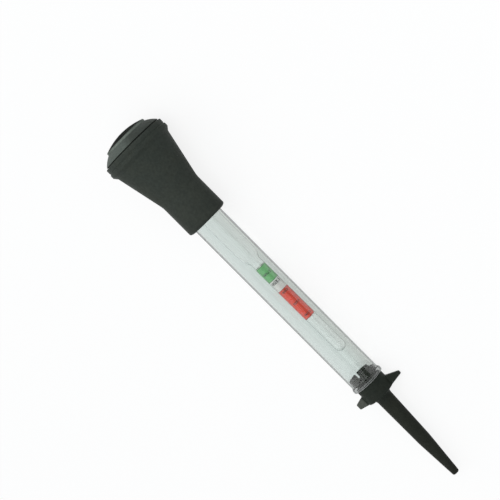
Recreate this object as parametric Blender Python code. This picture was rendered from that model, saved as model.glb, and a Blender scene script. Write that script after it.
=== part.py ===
"""Battery hydrometer: rubber bulb, glass barrel, weighted glass float and rubber nozzle.

Lengths are in metres. The tool is drawn along its own X axis: zero is the lower end face
of the glass barrel, plus runs to the bulb and minus to the tip of the spout. One empty
then lays the whole tool down, nose low, on the bulb's band and the barrel's bead.
"""

import math

import bmesh
import bpy
from mathutils import Matrix, Vector

# Fits shared by all pieces
CLEARANCE = 0.0003
CUT_OVERRUN = 0.002
MERGE_DISTANCE = 0.000001

# Facets round the turned pieces
LARGE_FACETS = 40
FLOAT_FACETS = 24
FILLET_STEPS = 2
NOZZLE_FILLET_STEPS = 3
DOME_STEPS = 5

# Glass barrel with its fire-polished bead
BARREL_RADIUS = 0.0100
BARREL_WALL = 0.00115
BARREL_LENGTH = 0.1583
BEAD_RADIUS = 0.0111
BEAD_LENGTH = 0.0020
FLARE_LENGTH = 0.0019
GLASS_EDGE_ROUND = 0.0004

# Rubber bulb: neck, cone and grooved band
NECK_RADIUS = 0.0140
NECK_GRIP = 0.0226
NECK_LENGTH = 0.0237
LIP_ROUND_LENGTH = 0.0028
LIP_ROUND_DEPTH = 0.0033
CONE_LENGTH = 0.0306
CONE_END_RADIUS = 0.0206
BULB_WALL = 0.0024
THROAT_LENGTH = 0.0036
THROAT_FLARE_LENGTH = 0.0060
BAND_RISE_LENGTH = 0.0024
FRONT_RIDGE_RADIUS = 0.0225
FRONT_RIDGE_WIDTH = 0.0022
BAND_GROOVE_WIDTH = 0.0012
BAND_GROOVE_DEPTH = 0.0006
REAR_RIDGE_RADIUS = 0.0221
REAR_RIDGE_WIDTH = 0.0027
RIDGE_ROUND = 0.0005

# Rubber bulb: the shoulder that folds and the domed end that the thumb presses
SHOULDER_RADIUS = 0.0211
SHOULDER_LENGTH = 0.0063
SHOULDER_BULGE = 0.00035
PAD_RADIUS = 0.0142
PAD_SKIRT = 0.0022
PAD_WALL = 0.0026
PAD_RIM_RISE = 0.0005
PAD_DOME_RISE = 0.0026
PAD_RIM_ROUND = 0.0005

# Rubber nozzle: cage in the barrel, flange, bored spout
CAGE_LENGTH = 0.0077
CAGE_BORE_RADIUS = 0.0054
CAGE_TIP_ROUND = 0.0005
CAGE_SLOTS = 5
CAGE_SLOT_WIDTH = 0.0016
CAGE_SLOT_DEPTH = 0.0037
CAGE_SLOT_ANGLE = math.radians(28.5)
FLANGE_RADIUS = 0.00965
FLANGE_END = 0.0109
FLANGE_ROUND = 0.0005
SHOULDER_FILLET = 0.0032
SPOUT_ROOT_RADIUS = 0.0053
SPOUT_ROOT_LENGTH = 0.0050
SPOUT_MID_RADIUS = 0.00435
SPOUT_MID_LENGTH = 0.0376
SPOUT_TIP_RADIUS = 0.00225
SPOUT_LENGTH = 0.0768
SPOUT_TIP_ROUND = 0.0009
SPOUT_TIP_BORE_RADIUS = 0.0010
SPOUT_WALL = 0.0019
SPOUT_BEND = math.radians(1.2)

# The two wings of the nozzle
WING_ANGLE = math.radians(57.5)
WING_FRONT = 0.0042
WING_BACK = 0.0107
WING_SLOPE_CENTRE = 0.00765
LONG_WING_REACH = 0.0175
LONG_WING_TIP_WIDTH = 0.0019
BLUNT_WING_REACH = 0.0155
BLUNT_WING_TIP_WIDTH = 0.0036
WING_ROOT_THICKNESS = 0.0036
WING_TIP_THICKNESS = 0.0024
WING_EDGE_ROUND = 0.0004

# Glass float: stem, taper and ballast body
STEM_TIP_PLACE = 0.0241
STEM_RADIUS = 0.0037
STEM_LENGTH = 0.0737
FLOAT_TAPER_LENGTH = 0.0065
FLOAT_BODY_RADIUS = 0.0060
FLOAT_BODY_LENGTH = 0.0500
FLOAT_WALL = 0.0004
FLOAT_TILT = math.radians(0.85)
FLOAT_SIDE_ANGLE = math.radians(45.5)
STEM_SEAL_PLUG = 0.0020

# Printed scale rolled inside the stem
SCALE_START = 0.0262
SCALE_LENGTH = 0.0467
SCALE_THICKNESS = 0.00015
SCALE_CLEARANCE = 0.00015
SCALE_SEAM_ANGLE = math.radians(24)
SCALE_SEAM_TURN = math.radians(-45.5)

# Ballast in the rounded end of the float
SHOT_RADIUS = 0.0015
SHOT_FACETS = 10
SHOT_RINGS = 6
SHOT_SIDE_GAP = 0.00018
SHOT_LAYER_PITCH = 0.00275
SHOT_LAYERS = 4
SHOTS_PER_LAYER = 6
DOME_SHOTS = 3
DOME_SHOT_RING_RADIUS = 0.0019
DOME_SHOT_DROP = 0.0031
SEAL_THICKNESS = 0.0026
SEAL_DISH = 0.0005

# Places along the tool that follow from the sizes above
BORE_RADIUS = BARREL_RADIUS - BARREL_WALL
LIP_PLACE = BARREL_LENGTH - NECK_GRIP
CONE_START = LIP_PLACE + NECK_LENGTH
CONE_END = CONE_START + CONE_LENGTH
FRONT_RIDGE_START = CONE_END + BAND_RISE_LENGTH
FRONT_RIDGE_END = FRONT_RIDGE_START + FRONT_RIDGE_WIDTH
REAR_RIDGE_START = FRONT_RIDGE_END + BAND_GROOVE_WIDTH
REAR_RIDGE_END = REAR_RIDGE_START + REAR_RIDGE_WIDTH
SHOULDER_START = REAR_RIDGE_END + CLEARANCE
SHOULDER_END = SHOULDER_START + SHOULDER_LENGTH
FLOAT_SHOULDER = STEM_TIP_PLACE + STEM_LENGTH + FLOAT_TAPER_LENGTH
FLOAT_OFFSET = BORE_RADIUS - FLOAT_BODY_RADIUS - CLEARANCE
BALLAST_CENTRE = FLOAT_BODY_LENGTH - FLOAT_BODY_RADIUS
FLOAT_BORE = FLOAT_BODY_RADIUS - FLOAT_WALL
STEM_BORE = STEM_RADIUS - FLOAT_WALL


def clear_scene():
    for old in list(bpy.data.objects):
        bpy.data.objects.remove(old, do_unlink=True)


def make_material(name, colour, roughness, metallic=0.0, alpha=1.0):
    material = bpy.data.materials.new(name)
    material.use_nodes = True
    shader = material.node_tree.nodes["Principled BSDF"]
    shader.inputs["Base Color"].default_value = (*colour, 1.0)
    shader.inputs["Roughness"].default_value = roughness
    shader.inputs["Metallic"].default_value = metallic
    shader.inputs["Alpha"].default_value = alpha
    material.diffuse_color = (*colour, alpha)
    return material


def make_empty(name, parent=None, place=(0, 0, 0)):
    empty = bpy.data.objects.new(name, None)
    bpy.context.collection.objects.link(empty)
    empty.location = place
    empty.parent = parent
    return empty


def make_object(name, bm, material, parent):
    """A named object from a bmesh, smooth where it is round and crisp at its corners."""
    bmesh.ops.recalc_face_normals(bm, faces=bm.faces)
    mesh = bpy.data.meshes.new(name)
    bm.to_mesh(mesh)
    bm.free()
    mesh.materials.append(material)
    mesh.shade_smooth()
    mesh.set_sharp_from_angle(angle=math.radians(35))
    piece = bpy.data.objects.new(name, mesh)
    bpy.context.collection.objects.link(piece)
    piece.parent = parent
    return piece


def filleted(corners, closed=True, steps=FILLET_STEPS):
    """The points of an outline whose corners are (x, r, fillet radius).

    Two fillets that meet on a short side share it in proportion to their radii."""
    points = []
    count = len(corners)
    for index, (x, r, radius) in enumerate(corners):
        corner = Vector((x, r))
        is_end = not closed and index in (0, count - 1)
        if is_end or radius == 0:
            points.append(corner)
            continue
        last, following = corners[index - 1], corners[(index + 1) % count]
        before = Vector(last[:2]) - corner
        after = Vector(following[:2]) - corner
        room_before = before.length * radius / (radius + last[2])
        room_after = after.length * radius / (radius + following[2])
        half_angle = before.angle(after) / 2
        reach = min(radius / math.tan(half_angle), room_before, room_after)
        start = corner + before.normalized() * reach
        end = corner + after.normalized() * reach
        for step in range(steps + 1):
            share = step / steps
            first = start.lerp(corner, share)
            second = corner.lerp(end, share)
            points.append(first.lerp(second, share))
    return points


def arc(centre_x, radius, start_angle, end_angle, steps):
    """Points on an arc about a place on the axis, angles counted from the plus X way."""
    points = []
    for step in range(steps + 1):
        angle = start_angle + (end_angle - start_angle) * step / steps
        points.append(Vector((centre_x + radius * math.cos(angle), radius * math.sin(angle))))
    return points


def bulged(start, end, bulge, steps):
    """Points from start to end on a shallow bow that stands out by bulge at its middle."""
    start, end = Vector(start), Vector(end)
    along = end - start
    outward = Vector((-along.y, along.x)).normalized()
    if outward.y < 0:
        outward = -outward
    points = []
    for step in range(steps + 1):
        share = step / steps
        points.append(start + along * share + outward * bulge * 4 * share * (1 - share))
    return points


def turned(points, facets, closed=True):
    """A bmesh spun about the X axis from an outline of (x, r), one facet facing down."""
    bm = bmesh.new()
    turn = Matrix.Rotation(math.pi / facets, 3, "X")
    verts = [bm.verts.new(turn @ Vector((point[0], 0, point[1]))) for point in points]
    for first, second in zip(verts, verts[1:]):
        bm.edges.new((first, second))
    if closed:
        bm.edges.new((verts[-1], verts[0]))
    bmesh.ops.spin(
        bm,
        geom=bm.verts[:] + bm.edges[:],
        cent=(0, 0, 0),
        axis=(1, 0, 0),
        angle=math.tau,
        steps=facets,
        use_merge=True,
    )
    bmesh.ops.remove_doubles(bm, verts=bm.verts, dist=MERGE_DISTANCE)
    return bm


def cut_or_join(piece, tool, operation):
    """A Boolean that stays on the piece; its tool is hidden from the finished model."""
    tool.hide_render = True
    tool.display_type = "WIRE"
    modifier = piece.modifiers.new(tool.name, "BOOLEAN")
    modifier.operation = operation
    modifier.solver = "EXACT"
    modifier.object = tool


def make_barrel(tool, glass):
    """Straight glass tube; its lower end is flared and fire-polished to a round bead."""
    outline = filleted(
        [
            (BARREL_LENGTH, BORE_RADIUS, GLASS_EDGE_ROUND),
            (BARREL_LENGTH, BARREL_RADIUS, GLASS_EDGE_ROUND),
            (BEAD_LENGTH + FLARE_LENGTH, BARREL_RADIUS, FLARE_LENGTH),
            (BEAD_LENGTH, BEAD_RADIUS, BEAD_LENGTH / 3),
            (0, BEAD_RADIUS, BEAD_LENGTH / 2),
            (0, BORE_RADIUS, GLASS_EDGE_ROUND),
        ]
    )
    make_object("glass_barrel", turned(outline, LARGE_FACETS), glass, tool)


def lip_round():
    """The moulded quarter-ellipse that runs the neck down to the glass."""
    points = []
    for step in range(DOME_STEPS + 1):
        angle = math.pi / 2 * step / DOME_STEPS
        x = LIP_PLACE + LIP_ROUND_LENGTH * (1 - math.cos(angle))
        r = NECK_RADIUS - LIP_ROUND_DEPTH * (1 - math.sin(angle))
        points.append(Vector((x, r)))
    return points


def make_bulb_body(bulb, rubber):
    """Neck, cone and grooved band of the bulb, hollow from the glass to the shoulder."""
    seat_radius = BARREL_RADIUS + CLEARANCE
    seat_end = BARREL_LENGTH + CLEARANCE
    throat_end = seat_end + THROAT_LENGTH
    chamber_start = throat_end + THROAT_FLARE_LENGTH
    cone_slope = (CONE_END_RADIUS - NECK_RADIUS) / CONE_LENGTH
    chamber_radius = NECK_RADIUS + cone_slope * (chamber_start - CONE_START) - BULB_WALL
    mouth_radius = SHOULDER_RADIUS - BULB_WALL
    groove_radius = min(FRONT_RIDGE_RADIUS, REAR_RIDGE_RADIUS) - BAND_GROOVE_DEPTH
    groove_middle = FRONT_RIDGE_END + BAND_GROOVE_WIDTH / 2
    outside = filleted(
        [
            (LIP_PLACE + LIP_ROUND_LENGTH, NECK_RADIUS, 0),
            (CONE_START, NECK_RADIUS, CONE_LENGTH / 2),
            (CONE_END, CONE_END_RADIUS, BAND_RISE_LENGTH / 2),
            (FRONT_RIDGE_START, FRONT_RIDGE_RADIUS, RIDGE_ROUND),
            (FRONT_RIDGE_END, FRONT_RIDGE_RADIUS, RIDGE_ROUND),
            (groove_middle, groove_radius, RIDGE_ROUND / 2),
            (REAR_RIDGE_START, REAR_RIDGE_RADIUS, RIDGE_ROUND),
            (REAR_RIDGE_END, REAR_RIDGE_RADIUS, RIDGE_ROUND),
            (REAR_RIDGE_END, SHOULDER_RADIUS, 0),
        ],
        closed=False,
    )
    inside = filleted(
        [
            (REAR_RIDGE_END, mouth_radius, 0),
            (CONE_END, CONE_END_RADIUS - BULB_WALL, THROAT_LENGTH),
            (chamber_start, chamber_radius, THROAT_LENGTH),
            (throat_end, BORE_RADIUS, THROAT_LENGTH / 2),
            (seat_end, BORE_RADIUS, 0),
            (seat_end, seat_radius, 0),
            (LIP_PLACE, seat_radius, 0),
        ],
        closed=False,
    )
    outline = lip_round()[:-1] + outside + inside
    make_object("bulb_body", turned(outline, LARGE_FACETS), rubber, bulb)


def make_bulb_shoulder(bulb, rubber):
    """Bowed ring between the band and the end pad, the part of the wall that folds."""
    inner_radius = PAD_RADIUS + CLEARANCE
    outside = bulged(
        (SHOULDER_START, SHOULDER_RADIUS),
        (SHOULDER_END, inner_radius),
        SHOULDER_BULGE,
        DOME_STEPS,
    )
    inside = bulged(
        (SHOULDER_END - PAD_SKIRT, inner_radius),
        (SHOULDER_START, SHOULDER_RADIUS - BULB_WALL),
        SHOULDER_BULGE / 2,
        DOME_STEPS,
    )
    make_object("bulb_shoulder", turned(outside + inside, LARGE_FACETS), rubber, bulb)


def make_bulb_pad(pad, rubber):
    """Domed end pad. Its frame has its origin where the shoulder's outer face ends."""
    rim = PAD_RIM_RISE
    dome = bulged_dome(PAD_RADIUS - PAD_RIM_ROUND, rim, rim + PAD_DOME_RISE)
    under = bulged_dome(PAD_RADIUS - PAD_WALL, -PAD_SKIRT, rim + PAD_DOME_RISE - PAD_WALL)
    skirt = filleted(
        [
            (-PAD_SKIRT, PAD_RADIUS - PAD_WALL, 0),
            (-PAD_SKIRT, PAD_RADIUS, 0),
            (rim, PAD_RADIUS, PAD_RIM_ROUND),
            (rim, PAD_RADIUS - PAD_RIM_ROUND, 0),
        ],
        closed=False,
    )
    outline = under[::-1][:-1] + skirt[:-1] + dome
    make_object("bulb_end_pad", turned(outline, LARGE_FACETS, closed=False), rubber, pad)


def bulged_dome(edge_radius, edge_x, crown_x):
    """Points of a shallow dome from its edge to the axis."""
    points = []
    for step in range(DOME_STEPS + 1):
        angle = math.pi / 2 * step / DOME_STEPS
        r = edge_radius * math.cos(angle)
        rise = 1 - (r / edge_radius) ** 2
        points.append(Vector((edge_x + (crown_x - edge_x) * rise, r)))
    return points


def bend_spout(bm):
    """The soft spout leans to one side, more the further it reaches."""
    lean = Vector((0, math.sin(FLOAT_SIDE_ANGLE), math.cos(FLOAT_SIDE_ANGLE)))
    for vert in bm.verts:
        beyond = -FLANGE_END - vert.co.x
        if beyond > 0:
            vert.co += lean * (math.tan(SPOUT_BEND) * beyond)


def make_nozzle(nozzle, rubber):
    """One moulding: slotted cage, flange, two wings and the tapered, bored spout."""
    cage_radius = BORE_RADIUS - CLEARANCE
    spout_root = FLANGE_END + SPOUT_ROOT_LENGTH
    spout_mid = FLANGE_END + SPOUT_MID_LENGTH
    outline = filleted(
        [
            (CAGE_LENGTH, CAGE_BORE_RADIUS, 0),
            (CAGE_LENGTH, cage_radius, CAGE_TIP_ROUND),
            (-CLEARANCE, cage_radius, 0),
            (-CLEARANCE, FLANGE_RADIUS, FLANGE_ROUND / 2),
            (-FLANGE_END, FLANGE_RADIUS, FLANGE_ROUND),
            (-FLANGE_END, SPOUT_ROOT_RADIUS, SHOULDER_FILLET),
            (-spout_mid, SPOUT_MID_RADIUS, SPOUT_ROOT_LENGTH),
            (-SPOUT_LENGTH, SPOUT_TIP_RADIUS, SPOUT_TIP_ROUND),
            (-SPOUT_LENGTH, SPOUT_TIP_BORE_RADIUS, 0),
            (-spout_mid, SPOUT_MID_RADIUS - SPOUT_WALL, SPOUT_ROOT_LENGTH),
            (-spout_root, SPOUT_ROOT_RADIUS - SPOUT_WALL, SPOUT_ROOT_LENGTH),
            (-FLANGE_END / 2, CAGE_BORE_RADIUS, SPOUT_ROOT_LENGTH),
        ],
        steps=NOZZLE_FILLET_STEPS,
    )
    bm = turned(outline, LARGE_FACETS)
    bend_spout(bm)
    body = make_object("nozzle", bm, rubber, nozzle)
    for index in range(CAGE_SLOTS):
        slot = make_slot(nozzle, rubber, index)
        cut_or_join(body, slot, "DIFFERENCE")
    long_wing = make_wing(
        "long_wing", nozzle, rubber, LONG_WING_REACH, LONG_WING_TIP_WIDTH, math.pi - WING_ANGLE
    )
    blunt_wing = make_wing(
        "blunt_wing", nozzle, rubber, BLUNT_WING_REACH, BLUNT_WING_TIP_WIDTH, -WING_ANGLE
    )
    cut_or_join(body, long_wing, "UNION")
    cut_or_join(body, blunt_wing, "UNION")


def make_slot(nozzle, rubber, index):
    """Cutter for one slot of the cage, from inside its bore to past its rim."""
    bm = bmesh.new()
    bmesh.ops.create_cube(bm, size=1)
    length = CAGE_SLOT_DEPTH + CUT_OVERRUN
    bmesh.ops.scale(bm, vec=(length, CAGE_SLOT_WIDTH, BARREL_RADIUS), verts=bm.verts)
    middle = CAGE_LENGTH - CAGE_SLOT_DEPTH + length / 2
    centre = (CAGE_BORE_RADIUS + BARREL_RADIUS) / 2
    bmesh.ops.translate(bm, vec=(middle, 0, centre), verts=bm.verts)
    slot = make_object(f"cage_slot_cutter_{index + 1}", bm, rubber, nozzle)
    slot.rotation_euler.x = CAGE_SLOT_ANGLE + index * math.tau / CAGE_SLOTS
    return slot


def make_wing(name, nozzle, rubber, reach, tip_width, turn):
    """Flat tapered fin, drawn pointing up and then turned to its place round the flange."""
    root = (CAGE_BORE_RADIUS + FLANGE_RADIUS) / 2
    outline = filleted(
        [
            (-WING_FRONT, root, 0),
            (-WING_FRONT, FLANGE_RADIUS, 0),
            (-WING_SLOPE_CENTRE + tip_width / 2, reach, tip_width / 3),
            (-WING_SLOPE_CENTRE - tip_width / 2, reach, tip_width / 3),
            (-WING_BACK, FLANGE_RADIUS, 0),
            (-WING_BACK, root, 0),
        ]
    )
    bm = bmesh.new()
    verts = [bm.verts.new((point.x, 0, point.y)) for point in outline]
    face = bm.faces.new(verts)
    grown = bmesh.ops.extrude_face_region(bm, geom=[face])
    far_verts = [item for item in grown["geom"] if isinstance(item, bmesh.types.BMVert)]
    bmesh.ops.translate(bm, vec=(0, 1, 0), verts=far_verts)
    for vert in bm.verts:
        share = (vert.co.z - root) / (reach - root)
        thickness = WING_ROOT_THICKNESS + (WING_TIP_THICKNESS - WING_ROOT_THICKNESS) * share
        vert.co.y = (vert.co.y - 0.5) * thickness
    wing = make_object(name, bm, rubber, nozzle)
    wing.rotation_euler.x = turn
    bevel = wing.modifiers.new("edge_round", "BEVEL")
    bevel.width = WING_EDGE_ROUND
    bevel.segments = 2
    bevel.limit_method = "ANGLE"
    bevel.angle_limit = math.radians(50)
    return wing


def float_outline(body_radius, stem_radius, stem_end):
    """Half outline of the float from the middle of its rounded end to its open stem."""
    outline = arc(BALLAST_CENTRE, body_radius, 0, math.pi / 2, DOME_STEPS)
    for step in range(1, DOME_STEPS + 1):
        share = step / DOME_STEPS
        ease = share * share * (3 - 2 * share)
        radius = body_radius + (stem_radius - body_radius) * ease
        outline.append(Vector((-FLOAT_TAPER_LENGTH * share, radius)))
    outline.insert(DOME_STEPS + 1, Vector((0, body_radius)))
    outline.append(Vector((-stem_end, stem_radius)))
    return outline


def make_float(float_frame, glass, paper, wax, lead):
    """Blown envelope and what it holds. The frame's origin is where the body's taper ends."""
    stem_end = FLOAT_TAPER_LENGTH + STEM_LENGTH - STEM_RADIUS
    outside = float_outline(FLOAT_BODY_RADIUS, STEM_RADIUS, stem_end)
    inside = float_outline(FLOAT_BORE, STEM_BORE, stem_end)
    outline = outside + inside[::-1]
    bm = turned(outline, FLOAT_FACETS, closed=False)
    make_object("float_envelope", bm, glass, float_frame)
    make_stem_seal(float_frame, glass, stem_end)
    make_scale(float_frame, paper)
    make_ballast(float_frame, wax, lead)


def make_stem_seal(float_frame, glass, stem_end):
    """Flame-sealed round tip that closes the stem."""
    face = -stem_end - CLEARANCE
    plug_radius = STEM_BORE - CLEARANCE
    dome = arc(face, STEM_RADIUS, math.pi / 2, math.pi, DOME_STEPS)
    dome[-1].y = 0
    outline = [
        Vector((face + STEM_SEAL_PLUG, 0)),
        Vector((face + STEM_SEAL_PLUG, plug_radius)),
        Vector((face, plug_radius)),
    ]
    bm = turned(outline + dome, FLOAT_FACETS, closed=False)
    make_object("stem_tip_seal", bm, glass, float_frame)


def make_scale(float_frame, paper):
    """Printed strip, rolled to an open tube that springs against the stem."""
    outer = STEM_BORE - SCALE_CLEARANCE
    inner = outer - SCALE_THICKNESS
    start = -FLOAT_TAPER_LENGTH - STEM_LENGTH + SCALE_START
    bm = bmesh.new()
    rings = []
    for radius in (outer, inner):
        for x in (start, start + SCALE_LENGTH):
            ring = []
            for step in range(FLOAT_FACETS + 1):
                sweep = math.tau - SCALE_SEAM_ANGLE
                angle = SCALE_SEAM_TURN + SCALE_SEAM_ANGLE / 2 + sweep * step / FLOAT_FACETS
                ring.append(bm.verts.new((x, radius * math.cos(angle), radius * math.sin(angle))))
            rings.append(ring)
    outer_low, outer_high, inner_low, inner_high = rings
    for step in range(FLOAT_FACETS):
        for low, high in ((outer_low, outer_high), (inner_high, inner_low)):
            bm.faces.new((low[step], low[step + 1], high[step + 1], high[step]))
        for one, other in ((outer_low, inner_low), (inner_high, outer_high)):
            bm.faces.new((one[step], other[step], other[step + 1], one[step + 1]))
    for step in (0, FLOAT_FACETS):
        bm.faces.new((outer_low[step], outer_high[step], inner_high[step], inner_low[step]))
    make_object("scale_strip", bm, paper, float_frame)


def make_ballast(float_frame, wax, lead):
    """Layers of shot in the rounded end, held down by a dished wax plug."""
    ring_radius = FLOAT_BORE - SHOT_RADIUS - SHOT_SIDE_GAP
    places = shot_ring(BALLAST_CENTRE + DOME_SHOT_DROP, DOME_SHOT_RING_RADIUS, DOME_SHOTS, 0)
    for layer in range(SHOT_LAYERS):
        x = BALLAST_CENTRE - layer * SHOT_LAYER_PITCH
        twist = layer * math.pi / SHOTS_PER_LAYER
        places += shot_ring(x, ring_radius, SHOTS_PER_LAYER, twist)
        if layer % 2 == 0:
            places.append(Vector((x, 0, 0)))
    shot_mesh = None
    for index, place in enumerate(places):
        name = f"ballast_shot_{index + 1:02d}"
        if shot_mesh is None:
            shot = make_shot(name, lead, float_frame)
            shot_mesh = shot.data
        else:
            shot = bpy.data.objects.new(name, shot_mesh)
            bpy.context.collection.objects.link(shot)
            shot.parent = float_frame
        shot.location = place
    top = BALLAST_CENTRE - (SHOT_LAYERS - 1) * SHOT_LAYER_PITCH - SHOT_RADIUS - CLEARANCE
    radius = FLOAT_BORE - CLEARANCE
    outline = [
        Vector((top, 0)),
        Vector((top, radius)),
        Vector((top - SEAL_THICKNESS, radius)),
        Vector((top - SEAL_THICKNESS + SEAL_DISH, radius / 2)),
        Vector((top - SEAL_THICKNESS + SEAL_DISH, 0)),
    ]
    bm = turned(outline, FLOAT_FACETS, closed=False)
    make_object("ballast_seal", bm, wax, float_frame)


def shot_ring(x, radius, count, twist):
    places = []
    for step in range(count):
        angle = twist + math.tau * step / count
        places.append(Vector((x, radius * math.cos(angle), radius * math.sin(angle))))
    return places


def make_shot(name, lead, float_frame):
    bm = bmesh.new()
    bmesh.ops.create_uvsphere(
        bm, u_segments=SHOT_FACETS, v_segments=SHOT_RINGS, radius=SHOT_RADIUS
    )
    return make_object(name, bm, lead, float_frame)


def lay_down(tool):
    """Tips the tool until band and bead touch the floor, and centres it over the origin."""
    facet_share = math.cos(math.pi / LARGE_FACETS)
    band_place = FRONT_RIDGE_START + FRONT_RIDGE_WIDTH / 2
    rise = (FRONT_RIDGE_RADIUS - BEAD_RADIUS) * facet_share
    tool.rotation_euler.y = -math.atan2(rise, band_place - BEAD_LENGTH / 2)
    bpy.context.view_layer.update()
    graph = bpy.context.evaluated_depsgraph_get()
    corners = []
    for piece in bpy.data.objects:
        if piece.type != "MESH" or piece.hide_render:
            continue
        shaped = piece.evaluated_get(graph)
        corners += [shaped.matrix_world @ vert.co for vert in shaped.data.vertices]
    lows = [min(corner[axis] for corner in corners) for axis in range(3)]
    highs = [max(corner[axis] for corner in corners) for axis in range(3)]
    tool.location.x = -(lows[0] + highs[0]) / 2
    tool.location.y = -(lows[1] + highs[1]) / 2
    tool.location.z = -lows[2]
    bpy.context.view_layer.update()


def main():
    clear_scene()
    glass = make_material("clear_glass", (0.78, 0.83, 0.81), 0.05, alpha=0.35)
    bulb_rubber = make_material("bulb_rubber", (0.038, 0.045, 0.040), 0.55)
    nozzle_rubber = make_material("nozzle_rubber", (0.024, 0.027, 0.024), 0.50)
    paper = make_material("scale_print", (0.55, 0.60, 0.56), 0.60)
    wax = make_material("ballast_wax", (0.35, 0.12, 0.07), 0.45)
    lead = make_material("lead_shot", (0.16, 0.16, 0.17), 0.45, metallic=1.0)

    tool = make_empty("tool_axis")
    bulb = make_empty("bulb_frame", tool)
    pad = make_empty("bulb_pad_frame", bulb, (SHOULDER_END, 0, 0))
    nozzle = make_empty("nozzle_frame", tool)
    side = Vector((0, -math.sin(FLOAT_SIDE_ANGLE), -math.cos(FLOAT_SIDE_ANGLE)))
    float_frame = make_empty("float_frame", tool)
    tilt_axis = side.cross(Vector((1, 0, 0)))
    tilt = Matrix.Rotation(FLOAT_TILT, 4, tilt_axis)
    place = Vector((FLOAT_SHOULDER, 0, 0)) + side * FLOAT_OFFSET
    float_frame.matrix_basis = Matrix.Translation(place) @ tilt

    make_barrel(tool, glass)
    make_bulb_body(bulb, bulb_rubber)
    make_bulb_shoulder(bulb, bulb_rubber)
    make_bulb_pad(pad, bulb_rubber)
    make_nozzle(nozzle, nozzle_rubber)
    make_float(float_frame, glass, paper, wax, lead)
    lay_down(tool)


main()
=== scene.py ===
"""Battery hydrometer: the look of its rubber, glass, printed scale, wax and shot.

Each turned piece is drawn along the tool's own axis in millimetres, from the barrel's lower
face at zero to the bulb at plus X, and is then laid down in its place.
"""

import math

import bpy
from mathutils import Matrix, Vector


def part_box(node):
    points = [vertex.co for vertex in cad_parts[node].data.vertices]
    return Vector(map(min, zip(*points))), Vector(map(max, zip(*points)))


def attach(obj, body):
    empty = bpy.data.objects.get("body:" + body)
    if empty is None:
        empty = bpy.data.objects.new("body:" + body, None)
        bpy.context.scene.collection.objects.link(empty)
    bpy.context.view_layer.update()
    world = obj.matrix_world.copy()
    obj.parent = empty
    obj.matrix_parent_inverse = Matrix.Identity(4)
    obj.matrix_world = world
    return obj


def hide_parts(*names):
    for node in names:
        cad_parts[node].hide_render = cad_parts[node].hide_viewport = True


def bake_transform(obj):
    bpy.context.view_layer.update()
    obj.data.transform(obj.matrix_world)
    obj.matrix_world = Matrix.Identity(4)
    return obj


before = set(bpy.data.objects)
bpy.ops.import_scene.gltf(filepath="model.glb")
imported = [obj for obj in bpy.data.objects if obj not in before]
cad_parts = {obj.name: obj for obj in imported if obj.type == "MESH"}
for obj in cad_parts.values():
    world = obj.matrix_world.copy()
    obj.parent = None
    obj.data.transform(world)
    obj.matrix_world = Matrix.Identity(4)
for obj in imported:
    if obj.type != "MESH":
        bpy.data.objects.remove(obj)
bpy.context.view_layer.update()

MM = 0.001
SPIN_STEPS = 96

# The tool lies nose low on the bulb's band and the barrel's bead
TOOL_TILT = math.atan2(0.0589356, 0.9982618)
TOOL_PLACE = (-0.0655162, 0, 0.0110422)
TOOL = Matrix.Translation(TOOL_PLACE) @ Matrix.Rotation(-TOOL_TILT, 4, "Y")

# The view, in radians and millimetres. The camera stands over a point of the tool's axis,
# a little towards its lower side.
VIEW_RISE = math.radians(45.5)
VIEW_PAN = math.radians(3.19)
VIEW_ROLL = 0.00237
VIEW_POINT = 154.5
VIEW_DISTANCE = 876.0
VIEW_DROP = 5.04
SENSOR_WIDTH = 36.0
FOCAL_LENGTH = 106.4

# Directions across the tool as it lies: to its front, and to its upper side behind that
FRONT_SIDE = Vector((0, -math.cos(VIEW_RISE), math.sin(VIEW_RISE)))
UPPER_SIDE = Vector((0, math.sin(VIEW_RISE), math.cos(VIEW_RISE)))

# The float leans on the lower front of the bore, with its ballast end towards the bulb
FLOAT_SIDE = -UPPER_SIDE
FLOAT_ORIGIN = 104.3


def float_place(offset, lean):
    """The frame of a float that lies offset mm off the axis and leans by lean degrees."""
    turn = Matrix.Rotation(math.radians(lean), 4, FLOAT_SIDE.cross(Vector((1, 0, 0))))
    place = (Vector((FLOAT_ORIGIN, 0, 0)) + FLOAT_SIDE * offset) * MM
    return TOOL @ Matrix.Translation(place) @ turn


# As it lies here, and as it lies in the solids, whose boxes place the shot
FLOAT = float_place(2.4, 0.45)
SOLID_FLOAT = float_place(2.55, 0.85)

# Radii of the nozzle's flange, the stem and the float's body
FLANGE_RADIUS = 9.65
STEM_RADIUS = 3.7
BODY_RADIUS = 6.0

# The bulb folds, so its rubber is coloured by where each point lay before the fold
UNFOLDED_PLACE = "unfolded_place"


def linear(colour):
    """The linear colour of an sRGB hex value."""
    channels = []
    for start in (1, 3, 5):
        value = int(colour[start : start + 2], 16) / 255
        channels.append(value / 12.92 if value <= 0.04045 else ((value + 0.055) / 1.055) ** 2.4)
    return (*channels, 1.0)


def add(tree, kind, inputs=None, **settings):
    """A node with its settings. An input takes a value or another node's output."""
    made = tree.nodes.new(kind)
    for key, value in settings.items():
        setattr(made, key, value)
    for key, value in (inputs or {}).items():
        if isinstance(value, bpy.types.NodeSocket):
            tree.links.new(value, made.inputs[key])
        else:
            made.inputs[key].default_value = value
    return made


def new_material(name):
    material = bpy.data.materials.new(name)
    material.use_nodes = True
    material.node_tree.nodes.clear()
    return material, material.node_tree


def along(tree, place=TOOL, stretch=(1, 1, 1)):
    """Object coordinates in millimetres in the frame of the tool, or of the float."""
    coordinates = add(tree, "ShaderNodeTexCoord")
    return add(
        tree,
        "ShaderNodeMapping",
        {
            "Vector": coordinates.outputs["Object"],
            "Location": place.to_translation(),
            "Rotation": place.to_euler(),
            "Scale": Vector(stretch) * MM,
        },
        vector_type="TEXTURE",
    ).outputs["Vector"]


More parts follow.
